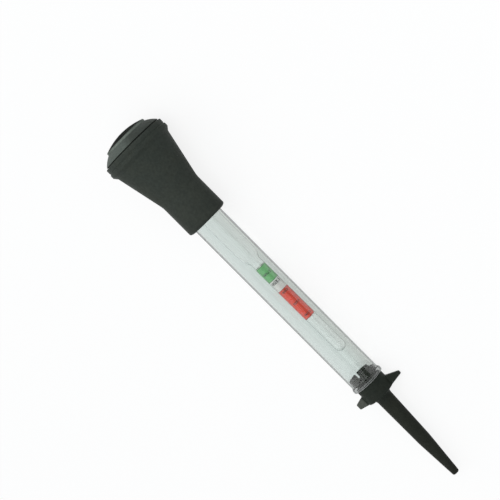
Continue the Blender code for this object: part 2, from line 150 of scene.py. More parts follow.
def set_ramp(ramp, stops):
    """Gives a colour ramp its stops of (position, colour)."""
    elements = ramp.color_ramp.elements
    while len(elements) > 1:
        elements.remove(elements[-1])
    elements[0].position, elements[0].color = stops[0]
    for position, colour in stops[1:]:
        elements.new(position).color = colour


def overlap(tree, *masks):
    """What several masks leave together. A number among them thins the result."""
    product = masks[0]
    for mask in masks[1:]:
        product = add(
            tree, "ShaderNodeMath", {0: product, 1: mask}, operation="MULTIPLY"
        ).outputs[0]
    return product


def band(tree, value, low, high):
    """1 where value lies between low and high."""
    above = add(tree, "ShaderNodeMath", {0: value, 1: low}, operation="GREATER_THAN")
    below = add(tree, "ShaderNodeMath", {0: value, 1: high}, operation="LESS_THAN")
    return overlap(tree, above.outputs[0], below.outputs[0])


def painted(tree, under, mask, colour, strength=1.0):
    """One colour laid over what is under it, inside a mask."""
    laid = add(
        tree,
        "ShaderNodeMix",
        {"Factor": overlap(tree, mask, strength), "A": under, "B": linear(colour)},
        data_type="RGBA",
    )
    return laid.outputs["Result"]


# Compression-moulded nitrile rubber: dense and dark, satin-matte from the mould's blasted
# face, with a thin grey-green bloom that lies unevenly. Its colour changes along the tool,
# by stops of (place in mm, colour), some of which are painted light and shade.
def make_rubber(name, stops, bloom, roughness, lighter_upper, kept_place=None):
    material, tree = new_material(name)
    if kept_place is None:
        place = along(tree)
    else:
        kept = add(tree, "ShaderNodeAttribute", attribute_name=kept_place)
        place = kept.outputs["Vector"]
    split = add(tree, "ShaderNodeSeparateXYZ", {"Vector": place})
    first, last = stops[0][0], stops[-1][0]
    share = add(
        tree,
        "ShaderNodeMapRange",
        {"Value": split.outputs["X"], "From Min": first, "From Max": last},
    )
    ramp = add(tree, "ShaderNodeValToRGB", {"Fac": share.outputs["Result"]})
    set_ramp(ramp, [((x - first) / (last - first), linear(colour)) for x, colour in stops])
    # Bloom and handling marks in patches 9 mm across, mottling of 1.6 mm
    patches = add(
        tree,
        "ShaderNodeTexNoise",
        {"Vector": place, "Scale": 1 / 9, "Detail": 3.0, "Roughness": 0.55},
    )
    mottle = add(
        tree,
        "ShaderNodeTexNoise",
        {"Vector": place, "Scale": 1 / 1.6, "Detail": 2.0, "Roughness": 0.6},
    )
    patch_share = add(
        tree,
        "ShaderNodeMapRange",
        {"Value": patches.outputs["Fac"], "From Min": 0.40, "From Max": 0.68, "To Max": 0.5},
    )
    bloomed = add(
        tree,
        "ShaderNodeMix",
        {
            "Factor": patch_share.outputs["Result"],
            "A": ramp.outputs["Color"],
            "B": linear(bloom),
        },
        data_type="RGBA",
    )
    # The upper side is lighter within a span along the tool: on the bulb's shoulder a painted sheen
    height = add(
        tree, "ShaderNodeVectorMath", {0: place, 1: tuple(UPPER_SIDE)}, operation="DOT_PRODUCT"
    )
    low, high = lighter_upper["heights"]
    upper_share = add(
        tree,
        "ShaderNodeMapRange",
        {"Value": height.outputs["Value"], "From Min": low, "From Max": high},
    )
    reached = band(tree, split.outputs["X"], *lighter_upper["lengths"])
    mask = overlap(tree, upper_share.outputs["Result"], reached)
    tone = painted(tree, bloomed.outputs["Result"], mask, lighter_upper["grey"])
    mottle_share = add(
        tree,
        "ShaderNodeMapRange",
        {
            "Value": mottle.outputs["Fac"],
            "From Min": 0.3,
            "From Max": 0.7,
            "To Min": 0.86,
            "To Max": 1.12,
        },
    )
    colour = add(
        tree,
        "ShaderNodeVectorMath",
        {0: tone, "Scale": mottle_share.outputs["Result"]},
        operation="SCALE",
    )
    # Mould grain of 0.35 mm, and soft waves of 5 mm where the wall gives
    grain = add(
        tree,
        "ShaderNodeTexNoise",
        {"Vector": place, "Scale": 1 / 0.35, "Detail": 2.0, "Roughness": 0.5},
    )
    waves = add(tree, "ShaderNodeTexNoise", {"Vector": place, "Scale": 1 / 5, "Detail": 1.0})
    # Satin, less so under the bloom, and matt on the domed end
    matt = add(
        tree,
        "ShaderNodeMapRange",
        {"Value": split.outputs["X"], "From Min": 205.3, "From Max": 205.7, "To Max": 0.35},
    )
    shine = add(
        tree,
        "ShaderNodeMapRange",
        {
            "Value": patches.outputs["Fac"],
            "From Min": 0.35,
            "From Max": 0.7,
            "To Min": roughness - 0.06,
            "To Max": roughness + 0.08,
        },
    )
    roughened = add(
        tree,
        "ShaderNodeMath",
        {0: shine.outputs["Result"], 1: matt.outputs["Result"]},
        operation="ADD",
        use_clamp=True,
    )
    fine = add(
        tree,
        "ShaderNodeBump",
        {"Height": grain.outputs["Fac"], "Distance": 0.05 * MM, "Strength": 0.55},
    )
    soft = add(
        tree,
        "ShaderNodeBump",
        {
            "Height": waves.outputs["Fac"],
            "Distance": 0.25 * MM,
            "Strength": 0.4,
            "Normal": fine.outputs["Normal"],
        },
    )
    shader = add(
        tree,
        "ShaderNodeBsdfPrincipled",
        {
            "Base Color": colour.outputs["Vector"],
            "Roughness": roughened.outputs[0],
            "Specular IOR Level": 0.06,
            "IOR": 1.5,
            "Normal": soft.outputs["Normal"],
        },
    )
    add(tree, "ShaderNodeOutputMaterial", {"Surface": shader.outputs["BSDF"]})
    return material


# Soda-lime tube, drawn, and for the float blown: clear through the middle and grey-green at
# the sides, from the long way through the wall and a painted shade, with faint lines along the
# draw. Its lower side has a painted shade, and it is greyer at its back than at its front.
def make_glass(
    name, place, upper, lower, slant_range, outside, shade, tip=None, bead=None, highlight_rings=()
):
    """Tones are (clear, edge). The outer skin lies between the two radii of outside, and
    all through what is beyond tip. Below bead the glass is thick. Highlight rings, painted
    highlights on the bead, are (start, end, share of the light that they scatter).
    """
    material, tree = new_material(name)
    radius = outside[0]
    millimetres = along(tree, place)
    # Draw lines 0.8 mm across and about 50 mm long
    lines = add(
        tree,
        "ShaderNodeTexNoise",
        {"Vector": along(tree, place, (60, 1, 1)), "Scale": 1 / 0.8, "Detail": 1.0},
    )
    drawn = add(
        tree,
        "ShaderNodeBump",
        {"Height": lines.outputs["Fac"], "Distance": 0.002 * MM, "Strength": 0.5},
    )
    # Handling film in smears of 14 mm, three times as long
    smears = add(
        tree,
        "ShaderNodeTexNoise",
        {"Vector": along(tree, place, (3, 1, 1)), "Scale": 1 / 14, "Detail": 3.0},
    )
    film = add(
        tree,
        "ShaderNodeMapRange",
        {"Value": smears.outputs["Fac"], "From Min": 0.45, "From Max": 0.7, "To Max": 0.05},
    )
    # The outer skin darkens where the sight line runs the long way through the wall, and far
    # more than that path makes it: a painted shade at the edges
    slant = add(tree, "ShaderNodeLayerWeight", {"Blend": 0.5})
    grazing = add(
        tree,
        "ShaderNodeMapRange",
        {"Value": slant.outputs["Facing"], "From Min": slant_range[0], "From Max": slant_range[1]},
    )
    away = add(
        tree, "ShaderNodeVectorMath", {0: millimetres, 1: (0.0, 1.0, 1.0)}, operation="MULTIPLY"
    )
    reach = add(tree, "ShaderNodeVectorMath", {0: away.outputs["Vector"]}, operation="LENGTH")
    skin = band(tree, reach.outputs["Value"], *outside)
    split = add(tree, "ShaderNodeSeparateXYZ", {"Vector": millimetres})
    length = split.outputs["X"]
    if tip is not None:
        # The stem's end is thick where it was sealed in the flame
        sealed = add(tree, "ShaderNodeMath", {0: length, 1: tip}, operation="LESS_THAN")
        skin = add(
            tree, "ShaderNodeMath", {0: skin, 1: sealed.outputs[0]}, operation="MAXIMUM"
        ).outputs[0]
    greyed = overlap(tree, grazing.outputs["Result"], skin)
    if bead is not None:
        # The bead is thick all through, and half as grey as an edge
        thick = add(tree, "ShaderNodeMath", {0: length, 1: bead}, operation="LESS_THAN")
        greyed = add(
            tree,
            "ShaderNodeMath",
            {0: greyed, 1: overlap(tree, thick.outputs[0], 0.5, skin)},
            operation="MAXIMUM",
        ).outputs[0]
    # The lower tone, a painted shade, starts just below the axis and is full near the lower edge
    height = add(
        tree,
        "ShaderNodeVectorMath",
        {0: millimetres, 1: tuple(UPPER_SIDE)},
        operation="DOT_PRODUCT",
    )
    lower_shade = add(
        tree,
        "ShaderNodeMapRange",
        {"Value": height.outputs["Value"], "From Min": -0.05 * radius, "From Max": -0.9 * radius},
    )
    # The tones are deeper at the back than at the front
    frontness = add(
        tree,
        "ShaderNodeVectorMath",
        {0: millimetres, 1: tuple(FRONT_SIDE)},
        operation="DOT_PRODUCT",
    )
    thickness = add(
        tree,
        "ShaderNodeMapRange",
        {
            "Value": frontness.outputs["Value"],
            "From Min": -0.4 * radius,
            "From Max": 0.4 * radius,
            "To Min": 1.55,
            "To Max": 0.45,
        },
    )
    tones = []
    for clear, edge in (upper, lower):
        deepened = add(
            tree,
            "ShaderNodeGamma",
            {"Color": linear(clear), "Gamma": thickness.outputs["Result"]},
        )
        tone = add(
            tree,
            "ShaderNodeMix",
            {"Factor": greyed, "A": deepened.outputs["Color"], "B": linear(edge)},
            data_type="RGBA",
        )
        tones.append(tone.outputs["Result"])
    colour = add(
        tree,
        "ShaderNodeMix",
        {"Factor": lower_shade.outputs["Result"], "A": tones[0], "B": tones[1]},
        data_type="RGBA",
    )
    # Rings that scatter some of the light instead of letting it through: painted highlights
    clearness = 1.0
    for start, end, share in highlight_rings:
        scattered = overlap(tree, band(tree, length, start, end), skin, share)
        clearness = add(
            tree, "ShaderNodeMath", {0: clearness, 1: scattered}, operation="SUBTRACT"
        ).outputs[0]
    shader = add(
        tree,
        "ShaderNodeBsdfPrincipled",
        {
            "Base Color": colour.outputs["Result"],
            "Roughness": film.outputs["Result"],
            "IOR": 1.51,
            "Transmission Weight": clearness,
            "Normal": drawn.outputs["Normal"],
        },
    )
    # Lamps reach what is inside the glass, and it throws only a thin shadow
    lamps = add(tree, "ShaderNodeLightPath")
    thin = add(tree, "ShaderNodeBsdfTransparent", {"Color": linear(shade)})
    surface = add(
        tree,
        "ShaderNodeMixShader",
        {0: lamps.outputs["Is Shadow Ray"], 1: shader.outputs["BSDF"], 2: thin.outputs["BSDF"]},
    )
    add(tree, "ShaderNodeOutputMaterial", {"Surface": surface.outputs["Shader"]})
    return material


# The scale strip, in millimetres from its stem end and round from its middle line. It clings
# to the glass, which then spreads it over the full width of the stem.
STRIP_START, STRIP_END = 52.3, 94.5
STRIP_RADIUS = 3.405
STRIP_SWEEP = math.radians(336)
STRIP_WIDTH = STRIP_RADIUS * STRIP_SWEEP
RED_ZONE = (52.5, 75.7)
GREEN_ZONE = (83.3, 94.3)
KEY_LINE = 0.4
GRADUATION = 1.18
TICK_WIDTH = 0.35
TICK_LENGTH = 1.85


# Coated scale paper, screen-printed: white stock with flat red and green fields, each with
# a darker key line, and fine graduations.
def make_print(name):
    material, tree = new_material(name)
    flat = add(tree, "ShaderNodeUVMap")
    split = add(tree, "ShaderNodeSeparateXYZ", {"Vector": flat.outputs["UV"]})
    place = add(
        tree,
        "ShaderNodeMapRange",
        {"Value": split.outputs["X"], "To Min": STRIP_START, "To Max": STRIP_END},
    ).outputs["Result"]
    side = add(
        tree,
        "ShaderNodeMapRange",
        {"Value": split.outputs["Y"], "To Min": -STRIP_WIDTH / 2, "To Max": STRIP_WIDTH / 2},
    ).outputs["Result"]
    # Paper and ink that lie unevenly over 3 mm
    ink = add(
        tree,
        "ShaderNodeTexNoise",
        {"Vector": along(tree, FLOAT), "Scale": 1 / 3, "Detail": 3.0, "Roughness": 0.6},
    )
    colour = add(
        tree,
        "ShaderNodeMix",
        {"Factor": ink.outputs["Fac"], "A": linear("#F4F2F0"), "B": linear("#FEFCFA")},
        data_type="RGBA",
    ).outputs["Result"]
    zones = [
        (RED_ZONE, "#B02A10", "#FF3C10", "#FF5028"),
        (GREEN_ZONE, "#3E9450", "#78CC80", "#8ADA8F"),
    ]
    for (low, high), edge, deep, light in zones:
        colour = painted(tree, colour, band(tree, place, low, high), edge)
        field = band(tree, place, low + KEY_LINE, high - KEY_LINE)
        colour = painted(tree, colour, field, deep)
        colour = painted(tree, colour, overlap(tree, field, ink.outputs["Fac"]), light)
    # A line down the middle of the red field, and graduations on one side of it
    red = band(tree, place, RED_ZONE[0] + KEY_LINE, RED_ZONE[1] - KEY_LINE)
    line_edge = -0.35
    line = overlap(tree, red, band(tree, side, line_edge, 0.1))
    colour = painted(tree, colour, line, "#C02A08", 0.4)
    steps = add(
        tree, "ShaderNodeMath", {0: place, 1: GRADUATION}, operation="FLOORED_MODULO"
    ).outputs[0]
    across = band(tree, side, line_edge - TICK_LENGTH, line_edge)
    ticks = overlap(tree, red, band(tree, steps, 0.0, TICK_WIDTH), across)
    colour = painted(tree, colour, ticks, "#B02A18", 0.4)
    shader = add(
        tree,
        "ShaderNodeBsdfPrincipled",
        {"Base Color": colour, "Roughness": 0.5, "Specular IOR Level": 0.3},
    )
    add(tree, "ShaderNodeOutputMaterial", {"Surface": shader.outputs["BSDF"]})
    return material


# Printing ink of the numerals: flat, and uneven over half a millimetre
def make_ink(name, deep, light):
    material, tree = new_material(name)
    wear = add(tree, "ShaderNodeTexNoise", {"Vector": along(tree, FLOAT), "Scale": 1 / 0.5})
    colour = add(
        tree,
        "ShaderNodeMix",
        {"Factor": wear.outputs["Fac"], "A": linear(deep), "B": linear(light)},
        data_type="RGBA",
    )
    shader = add(
        tree, "ShaderNodeBsdfPrincipled", {"Base Color": colour.outputs["Result"], "Roughness": 0.6}
    )
    add(tree, "ShaderNodeOutputMaterial", {"Surface": shader.outputs["BSDF"]})
    return material


# Poured sealing wax: brick red, waxy sheen, faint flow marks of 2.5 mm
def make_wax(name):
    material, tree = new_material(name)
    flow = add(
        tree, "ShaderNodeTexNoise", {"Vector": along(tree, FLOAT), "Scale": 1 / 2.5, "Detail": 2.0}
    )
    colour = add(
        tree,
        "ShaderNodeMix",
        {"Factor": flow.outputs["Fac"], "A": linear("#6E2A1E"), "B": linear("#A14A34")},
        data_type="RGBA",
    )
    bump = add(
        tree,
        "ShaderNodeBump",
        {"Height": flow.outputs["Fac"], "Distance": 0.15 * MM, "Strength": 0.6},
    )
    shader = add(
        tree,
        "ShaderNodeBsdfPrincipled",
        {
            "Base Color": colour.outputs["Result"],
            "Roughness": 0.38,
            "IOR": 1.44,
            "Subsurface Weight": 0.2,
            "Subsurface Scale": 0.8 * MM,
            "Normal": bump.outputs["Normal"],
        },
    )
    add(tree, "ShaderNodeOutputMaterial", {"Surface": shader.outputs["BSDF"]})
    return material


# Dropped lead shot: dull blue-grey metal, oxidised in patches of 1.2 mm, with small dents
def make_lead(name):
    material, tree = new_material(name)
    place = along(tree, FLOAT)
    oxide = add(tree, "ShaderNodeTexNoise", {"Vector": place, "Scale": 1 / 1.2, "Detail": 3.0})
    colour = add(
        tree,
        "ShaderNodeMix",
        {"Factor": oxide.outputs["Fac"], "A": linear("#4E5054"), "B": linear("#8C8E92")},
        data_type="RGBA",
    )
    shine = add(
        tree,
        "ShaderNodeMapRange",
        {"Value": oxide.outputs["Fac"], "To Min": 0.3, "To Max": 0.62},
    )
    dents = add(tree, "ShaderNodeTexNoise", {"Vector": place, "Scale": 1 / 0.6, "Detail": 1.0})
    bump = add(
        tree,
        "ShaderNodeBump",
        {"Height": dents.outputs["Fac"], "Distance": 0.1 * MM, "Strength": 0.6},
    )
    shader = add(
        tree,
        "ShaderNodeBsdfPrincipled",
        {
            "Base Color": colour.outputs["Result"],
            "Metallic": 1.0,
            "Roughness": shine.outputs["Result"],
            "Normal": bump.outputs["Normal"],
        },
    )
    add(tree, "ShaderNodeOutputMaterial", {"Surface": shader.outputs["BSDF"]})
    return material


def deselect():
    active = bpy.context.view_layer.objects.active
    if active is not None and active.mode != "OBJECT":
        bpy.ops.object.mode_set(mode="OBJECT")
    bpy.ops.object.select_all(action="DESELECT")


def take(piece):
    """Selects one piece, alone and active."""
    deselect()
    piece.select_set(True)
    bpy.context.view_layer.objects.active = piece


def rounded(corners, steps=6):
    """An open outline of (x, radius, fillet), with a smooth fillet at each inner corner."""
    points = []
    for index, (x, r, radius) in enumerate(corners):
        corner = Vector((x, r))
        if radius == 0 or index in (0, len(corners) - 1):
            points.append(corner)
            continue
        last, following = corners[index - 1], corners[index + 1]
        before = Vector(last[:2]) - corner
        after = Vector(following[:2]) - corner
        room_before = before.length * radius / (radius + last[2])
        room_after = after.length * radius / (radius + following[2])
        half_angle = before.angle(after) / 2
        reach = min(radius / math.tan(half_angle), room_before, room_after)
        start = corner + before.normalized() * reach
        end = corner + after.normalized() * reach
        for step in range(steps + 1):
            share = step / steps
            points.append(start.lerp(corner, share).lerp(corner.lerp(end, share), share))
    return points


def bow(start, end, rise, steps=10):
    """Points from start to end on a shallow bow that stands out by rise at its middle."""
    start, end = Vector(start), Vector(end)
    run = end - start
    outward = Vector((-run.y, run.x)).normalized()
    if outward.y < 0:
        outward = -outward
    return [
        start + run * (n / steps) + outward * (rise * 4 * n / steps * (1 - n / steps))
        for n in range(steps + 1)
    ]


def dome(edge_radius, edge, crown, steps=12):
    """Points of a shallow dome from its edge to the axis."""
    points = []
    for step in range(steps + 1):
        r = edge_radius * math.cos(math.pi / 2 * step / steps)
        points.append(Vector((edge + (crown - edge) * (1 - (r / edge_radius) ** 2), r)))
    points[-1].y = 0
    return points


def turned(name, outline):
    """An outline of (x, r) drawn point by point and spun round the tool's axis."""
    deselect()
    bpy.ops.mesh.primitive_plane_add(size=MM)
    piece = bpy.context.object
    piece.name = piece.data.name = name
    bpy.ops.object.mode_set(mode="EDIT")
    bpy.ops.mesh.select_mode(type="VERT")
    bpy.ops.mesh.merge(type="CENTER")
    here = Vector((0, 0))
    for point in outline:
        step = (point - here) * MM
        move = {"value": (step.x, 0, step.y)}
        if point is outline[0]:
            bpy.ops.transform.translate(**move)
        else:
            bpy.ops.mesh.extrude_vertices_move(TRANSFORM_OT_translate=move)
        here = point
    bpy.ops.mesh.select_all(action="SELECT")
    bpy.ops.mesh.spin(steps=SPIN_STEPS, angle=math.tau, center=(0, 0, 0), axis=(1, 0, 0))
    bpy.ops.mesh.select_all(action="SELECT")
    bpy.ops.mesh.remove_doubles(threshold=0.002 * MM)
    bpy.ops.mesh.normals_make_consistent(inside=False)
    bpy.ops.object.mode_set(mode="OBJECT")
    return piece


def modify(piece, kind, **settings):
    """A modifier that is applied at once."""
    take(piece)
    modifier = piece.modifiers.new(kind.lower(), kind)
    for key, value in settings.items():
        setattr(modifier, key, value)
    bpy.ops.object.modifier_apply(modifier=modifier.name)


def lay(piece, place):
    """Moves the piece by a matrix, with its place in its mesh."""
    take(piece)
    piece.matrix_world = place @ piece.matrix_world
    bpy.ops.object.transform_apply(location=True, rotation=True, scale=True)


def finish_piece(piece, place, material, crease=40):
    """Lays the piece in its place, smooth but for edges past crease degrees."""
    lay(piece, place)
    bpy.ops.object.shade_smooth_by_angle(angle=math.radians(crease))
    piece.data.materials.clear()
    piece.data.materials.append(material)


def make_barrel(glass):
    """Straight glass tube with a fire-polished bead round its lower end."""
    length, bore, tube, bead = 158.3, 9.2, 10.2, 11.1
    wall = rounded(
        [
            (80.0, bore, 0),
            (length, bore, 0.4),
            (length, tube, 0.4),
            (3.3, tube, 1.5),
            (2.3, bead, 1.6),
            (0.0, bead, 0.8),
            (0.0, bore, 0.4),
            (80.0, bore, 0),
        ]
    )
    barrel = turned("barrel_tube", wall)
    finish_piece(barrel, TOOL, glass)
    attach(barrel, "barrel")
    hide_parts("glass_barrel")


def keep_place(piece):
    """Stores each point's place on the tool, in millimetres, on the piece itself."""
    kept = piece.data.attributes.new(UNFOLDED_PLACE, "FLOAT_VECTOR", "POINT")
    for point, stored in zip(piece.data.vertices, kept.data):
        stored.vector = point.co / MM


def make_bulb(rubber):
    """One rubber moulding: lip, neck, cone, grooved band, shoulder and domed end."""
    neck_start, neck_radius = 137.4, 14.0
    lip_depth, lip_radius = 1.7, 10.7
    lip = [
        Vector(
            (
                neck_start - lip_depth * math.cos(angle),
                lip_radius + (neck_radius - lip_radius) * math.sin(angle),
            )
        )
        for angle in (math.pi / 2 * n / 12 for n in range(13))
    ]
    outside = rounded(
        [
            (neck_start, neck_radius, 0),
            (159.4, neck_radius, 15.3),
            (190.0, 20.6, 1.2),
            (192.4, 22.5, 0.5),
            (194.6, 22.5, 0.5),
            (195.2, 21.75, 0.4),
            (195.8, 22.1, 0.5),
            (198.5, 22.1, 0.5),
            (198.6, 20.2, 0.1),
            (199.15, 20.15, 0.1),
            (199.25, 20.95, 0.1),
            (199.3, 20.9, 0),
        ]
    )
    shoulder = bow((199.3, 20.9), (203.7, 15.4), 0.35)
    rim = rounded(
        [
            (203.7, 15.4, 0),
            (203.9, 14.95, 0.25),
            (205.2, 14.9, 0.2),
            (205.5, 14.5, 0.3),
            (205.6, 14.1, 0),
        ],
        steps=4,
    )
    end = dome(14.1, 205.6, 208.2)
    inside = dome(11.6, 202.9, 205.6)[::-1] + rounded(
        [
            (202.9, 11.6, 0),
            (202.2, 14.2, 1.0),
            (198.8, 18.6, 1.5),
            (190.0, 18.2, 3.6),
            (168.2, 13.5, 3.6),
            (162.2, 8.85, 1.8),
            (158.6, 8.85, 0.2),
            (158.6, 10.25, 0.2),
            (136.0, 10.25, 0.3),
            (neck_start - lip_depth, lip_radius, 0),
        ]
    )
    outline = inside[:-1] + lip[:-1] + outside[:-1] + shoulder[:-1] + rim[:-1] + end
    bulb = turned("squeeze_bulb", outline)
    keep_place(bulb)
    finish_piece(bulb, TOOL, rubber)
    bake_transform(bulb)
    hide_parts("bulb_body", "bulb_shoulder", "bulb_end_pad")


def pick_faces(piece, passes):
    """In edit mode, selects only the faces that pass the test."""
    bpy.ops.mesh.select_mode(type="FACE")
    bpy.ops.mesh.select_all(action="DESELECT")
    bpy.ops.object.mode_set(mode="OBJECT")
    for face in piece.data.polygons:
        face.select = passes(face)
    bpy.ops.object.mode_set(mode="EDIT")


def block(place, size):
    """A block by its middle and its three sizes, all selected in edit mode."""
    deselect()
    bpy.ops.mesh.primitive_cube_add(size=MM, location=Vector(place) * MM)
    bpy.ops.object.mode_set(mode="EDIT")
    bpy.ops.mesh.select_all(action="SELECT")
    bpy.ops.transform.resize(value=size)
    return bpy.context.object


def make_wing(name, turn, tip, tip_width, tip_middle):
    """A flat tapered fin, drawn out from a block at the flange and turned by turn degrees."""
    root = 7.5
    front, back = -4.2, -10.7
    middle, width = (front + back) / 2, front - back
    thick, tip_thick = 3.6, 2.4
    wing = block((middle, 0, root), (width, thick, 0.2))
    wing.name = name
    pick_faces(wing, lambda face: face.normal.z > 0.9)
    # Up to the flange's rim the fin is straight, and from there it draws in to its tip
    rise = (FLANGE_RADIUS - root) * MM
    bpy.ops.mesh.extrude_region_move(TRANSFORM_OT_translate={"value": (0, 0, rise)})
    rise = (tip - FLANGE_RADIUS) * MM
    shift = (tip_middle - middle) * MM
    bpy.ops.mesh.extrude_region_move(TRANSFORM_OT_translate={"value": (shift, 0, rise)})
    bpy.ops.transform.resize(value=(tip_width / width, tip_thick / thick, 1))
    bpy.ops.object.mode_set(mode="OBJECT")
    modify(wing, "BEVEL", width=0.4 * MM, segments=3, angle_limit=math.radians(50))
    lay(wing, Matrix.Rotation(math.radians(turn), 4, "X"))
    return wing


def make_slot(turn, start, inner, width):
    """A block that cuts the cage's wall from start past its rim, and from inner outward."""
    length, height = 4, 6
    slot = block((start + length / 2, 0, inner + height / 2), (length, width, height))
    bpy.ops.object.mode_set(mode="OBJECT")
    modify(slot, "BEVEL", width=0.3 * MM, segments=3)
    lay(slot, Matrix.Rotation(math.radians(turn), 4, "X"))
    return slot


def make_nozzle(rubber):
    """One rubber moulding: slotted cage, flange, two wings and the tapered, bored spout."""
    cage_height, cage_bore, cage_radius = 7.7, 6.1, 9.1
    spout_root, spout_lean = -10.9, math.radians(1.2)
    outline = rounded(
        [
            (0.0, cage_bore, 0),
            (cage_height, cage_bore, 0.3),
            (cage_height, cage_radius, 0.6),
            (-0.1, cage_radius, 0.1),
            (-0.3, FLANGE_RADIUS, 0.35),
            (spout_root, FLANGE_RADIUS, 0.6),
            (spout_root, 5.3, 3.2),
            (-48.5, 4.35, 5.0),
            (-76.8, 2.25, 0.9),
            (-76.8, 1.0, 0.2),
            (-48.5, 2.45, 5.0),
            (-15.9, 3.4, 5.0),
            (-5.45, cage_bore, 5.0),
            (0.0, cage_bore, 0),
        ]
    )
    nozzle = turned("nozzle_moulding", outline)
    for point in nozzle.data.vertices:
        beyond = spout_root * MM - point.co.x
        if beyond > 0:
            point.co += UPPER_SIDE * (math.tan(spout_lean) * beyond)
    cutters = [make_slot(28.0 + 72 * n, start=4.0, inner=4.7, width=2.0) for n in range(5)]
    # One side of the rim stands back from the others
    cutters.append(make_slot(134.5, start=5.7, inner=6.4, width=12.0))
    wings = [
        make_wing("long_wing", 122.5, tip=17.5, tip_width=1.9, tip_middle=-8.5),
        make_wing("blunt_wing", -57.5, tip=15.5, tip_width=3.6, tip_middle=-7.65),
    ]
    for cutter in cutters:
        modify(nozzle, "BOOLEAN", operation="DIFFERENCE", object=cutter)
        bpy.data.objects.remove(cutter)
    take(nozzle)
    for wing in wings:
        wing.select_set(True)
    bpy.ops.object.join()
    # The moulding has no knife edge: its corners and roots run into each other
    modify(nozzle, "REMESH", mode="VOXEL", voxel_size=0.27 * MM)
    modify(nozzle, "SMOOTH", factor=0.5, iterations=3)
    finish_piece(nozzle, TOOL, rubber, crease=80)
    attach(nozzle, "nozzle")
    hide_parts("nozzle")


def make_float(glass):
    """One blown envelope: ballast body, drawn-in taper, stem and flame-sealed tip."""
    body_end, taper, tip = 44.0, 6.5, -80.2
    quarter = [math.pi / 2 * n / 14 for n in range(15)]
    outline = [
        Vector((body_end + BODY_RADIUS * math.cos(angle), BODY_RADIUS * math.sin(angle)))
        for angle in quarter
    ]
    for step in range(13):
        share = step / 12
        ease = share * share * (3 - 2 * share)
        r = BODY_RADIUS - (BODY_RADIUS - STEM_RADIUS) * ease
        outline.append(Vector((-taper * share, r)))
    outline += [
        Vector((tip + STEM_RADIUS * (1 - math.sin(angle)), STEM_RADIUS * math.cos(angle)))
        for angle in quarter
    ]
    outline[0].y = outline[-1].y = 0
    envelope = turned("float_envelope_glass", outline)
    modify(envelope, "SOLIDIFY", thickness=0.3 * MM, offset=-1)
    finish_piece(envelope, FLOAT, glass, crease=80)
    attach(envelope, "float")
    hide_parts("float_envelope", "stem_tip_seal")


def roll(piece, radius):
    """Rolls a flat piece round the stem's axis, its middle line to the front."""
    middle = math.pi - VIEW_RISE
    for point in piece.data.vertices:
        x, y, z = point.co
        angle = middle - y / (STRIP_RADIUS * MM)
        reach = radius * MM + z
        point.co = (x, reach * math.cos(angle), reach * math.sin(angle))


def make_scale(paper, ink, dark_green, dark_red):
    """Printed strip, sprung against the inside of the stem, with its numerals."""
    deselect()
    length = STRIP_END - STRIP_START
    middle = (STRIP_START + STRIP_END) / 2 - FLOAT_ORIGIN
    bpy.ops.mesh.primitive_grid_add(
        x_subdivisions=8, y_subdivisions=72, size=1, location=(middle * MM, 0, 0)
    )
    strip = bpy.context.object
    strip.name = strip.data.name = "printed_scale"
    strip.scale = (length * MM, STRIP_WIDTH * MM, 1)
    bpy.ops.object.transform_apply(location=True, rotation=True, scale=True)
    modify(strip, "SOLIDIFY", thickness=0.12 * MM, offset=-1)
    roll(strip, STRIP_RADIUS)
    finish_piece(strip, FLOAT, paper)
    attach(strip, "float")
    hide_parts("scale_strip")
    # Each numeral's place along the strip and its height
    numerals = [
        ("1250", 81.6, 2.9, ink),
        ("1300", 88.9, 2.6, dark_green),
        ("1200", 73.9, 2.0, dark_red),
        ("1150", 64.5, 2.0, dark_red),
        ("1100", 55.1, 2.0, dark_red),
    ]
    for text, place, size, colour in numerals:
        deselect()
        bpy.ops.object.text_add(location=((place - FLOAT_ORIGIN) * MM, 0, 0.02 * MM))
        number = bpy.context.object
        number.data.body = text
        number.data.size = size * MM
        number.data.align_x = "CENTER"
        number.data.align_y = "CENTER"
        # Bold and spaced, so that it shows through the glass
        number.data.offset = 0.15 * MM
        number.data.space_character = 1.15
        number.rotation_euler.z = math.pi / 2
        bpy.ops.object.convert(target="MESH")
        number = bpy.context.object
        number.name = number.data.name = f"numeral_{text}"
        bpy.ops.object.transform_apply(location=True, rotation=True, scale=True)
        modify(number, "SOLIDIFY", thickness=0.015 * MM, offset=-1)
        roll(number, STRIP_RADIUS)
        finish_piece(number, FLOAT, colour)
        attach(number, "float")


def make_ballast(wax, lead):
    """The wax plug with its dished face, and the shot that it holds down."""
    shot_radius = 1.5
    shot_side, stem_side, radius = 33.95, 31.35, 5.45
    outline = rounded(
        [
            (shot_side, 0, 0),
            (shot_side, radius, 0.3),
            (stem_side, radius, 0.1),
            (stem_side + 0.7, 4.2, 2.0),
            (stem_side + 0.8, 0, 0),
        ]
    )
    plug = turned("wax_plug", outline)
    finish_piece(plug, FLOAT, wax)
    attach(plug, "float")
    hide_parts("ballast_seal")
    shots = sorted(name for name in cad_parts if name.startswith("ballast_shot"))
    for name in shots:
        low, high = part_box(name)
        centre = FLOAT @ SOLID_FLOAT.inverted() @ ((low + high) / 2)
        deselect()
        bpy.ops.mesh.primitive_ico_sphere_add(
            subdivisions=3, radius=shot_radius * MM, location=centre
        )
        shot = bpy.context.object
        shot.name = shot.data.name = name.replace("ballast", "lead")
        bpy.ops.object.transform_apply(location=True, rotation=True, scale=True)
        bpy.ops.object.shade_smooth()
        shot.data.materials.append(lead)
        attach(shot, "float")
        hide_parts(name)


def seen_rays(tree):
    """1 for what is seen directly, in a reflection or through glass."""
    rays = add(tree, "ShaderNodeLightPath")
    first = add(
        tree,
        "ShaderNodeMath",
        {0: rays.outputs["Is Camera Ray"], 1: rays.outputs["Is Glossy Ray"]},
        operation="ADD",
    )
    return add(
        tree,
        "ShaderNodeMath",
        {0: first.outputs[0], 1: rays.outputs["Is Transmission Ray"]},
        operation="ADD",
        use_clamp=True,
    ).outputs[0]


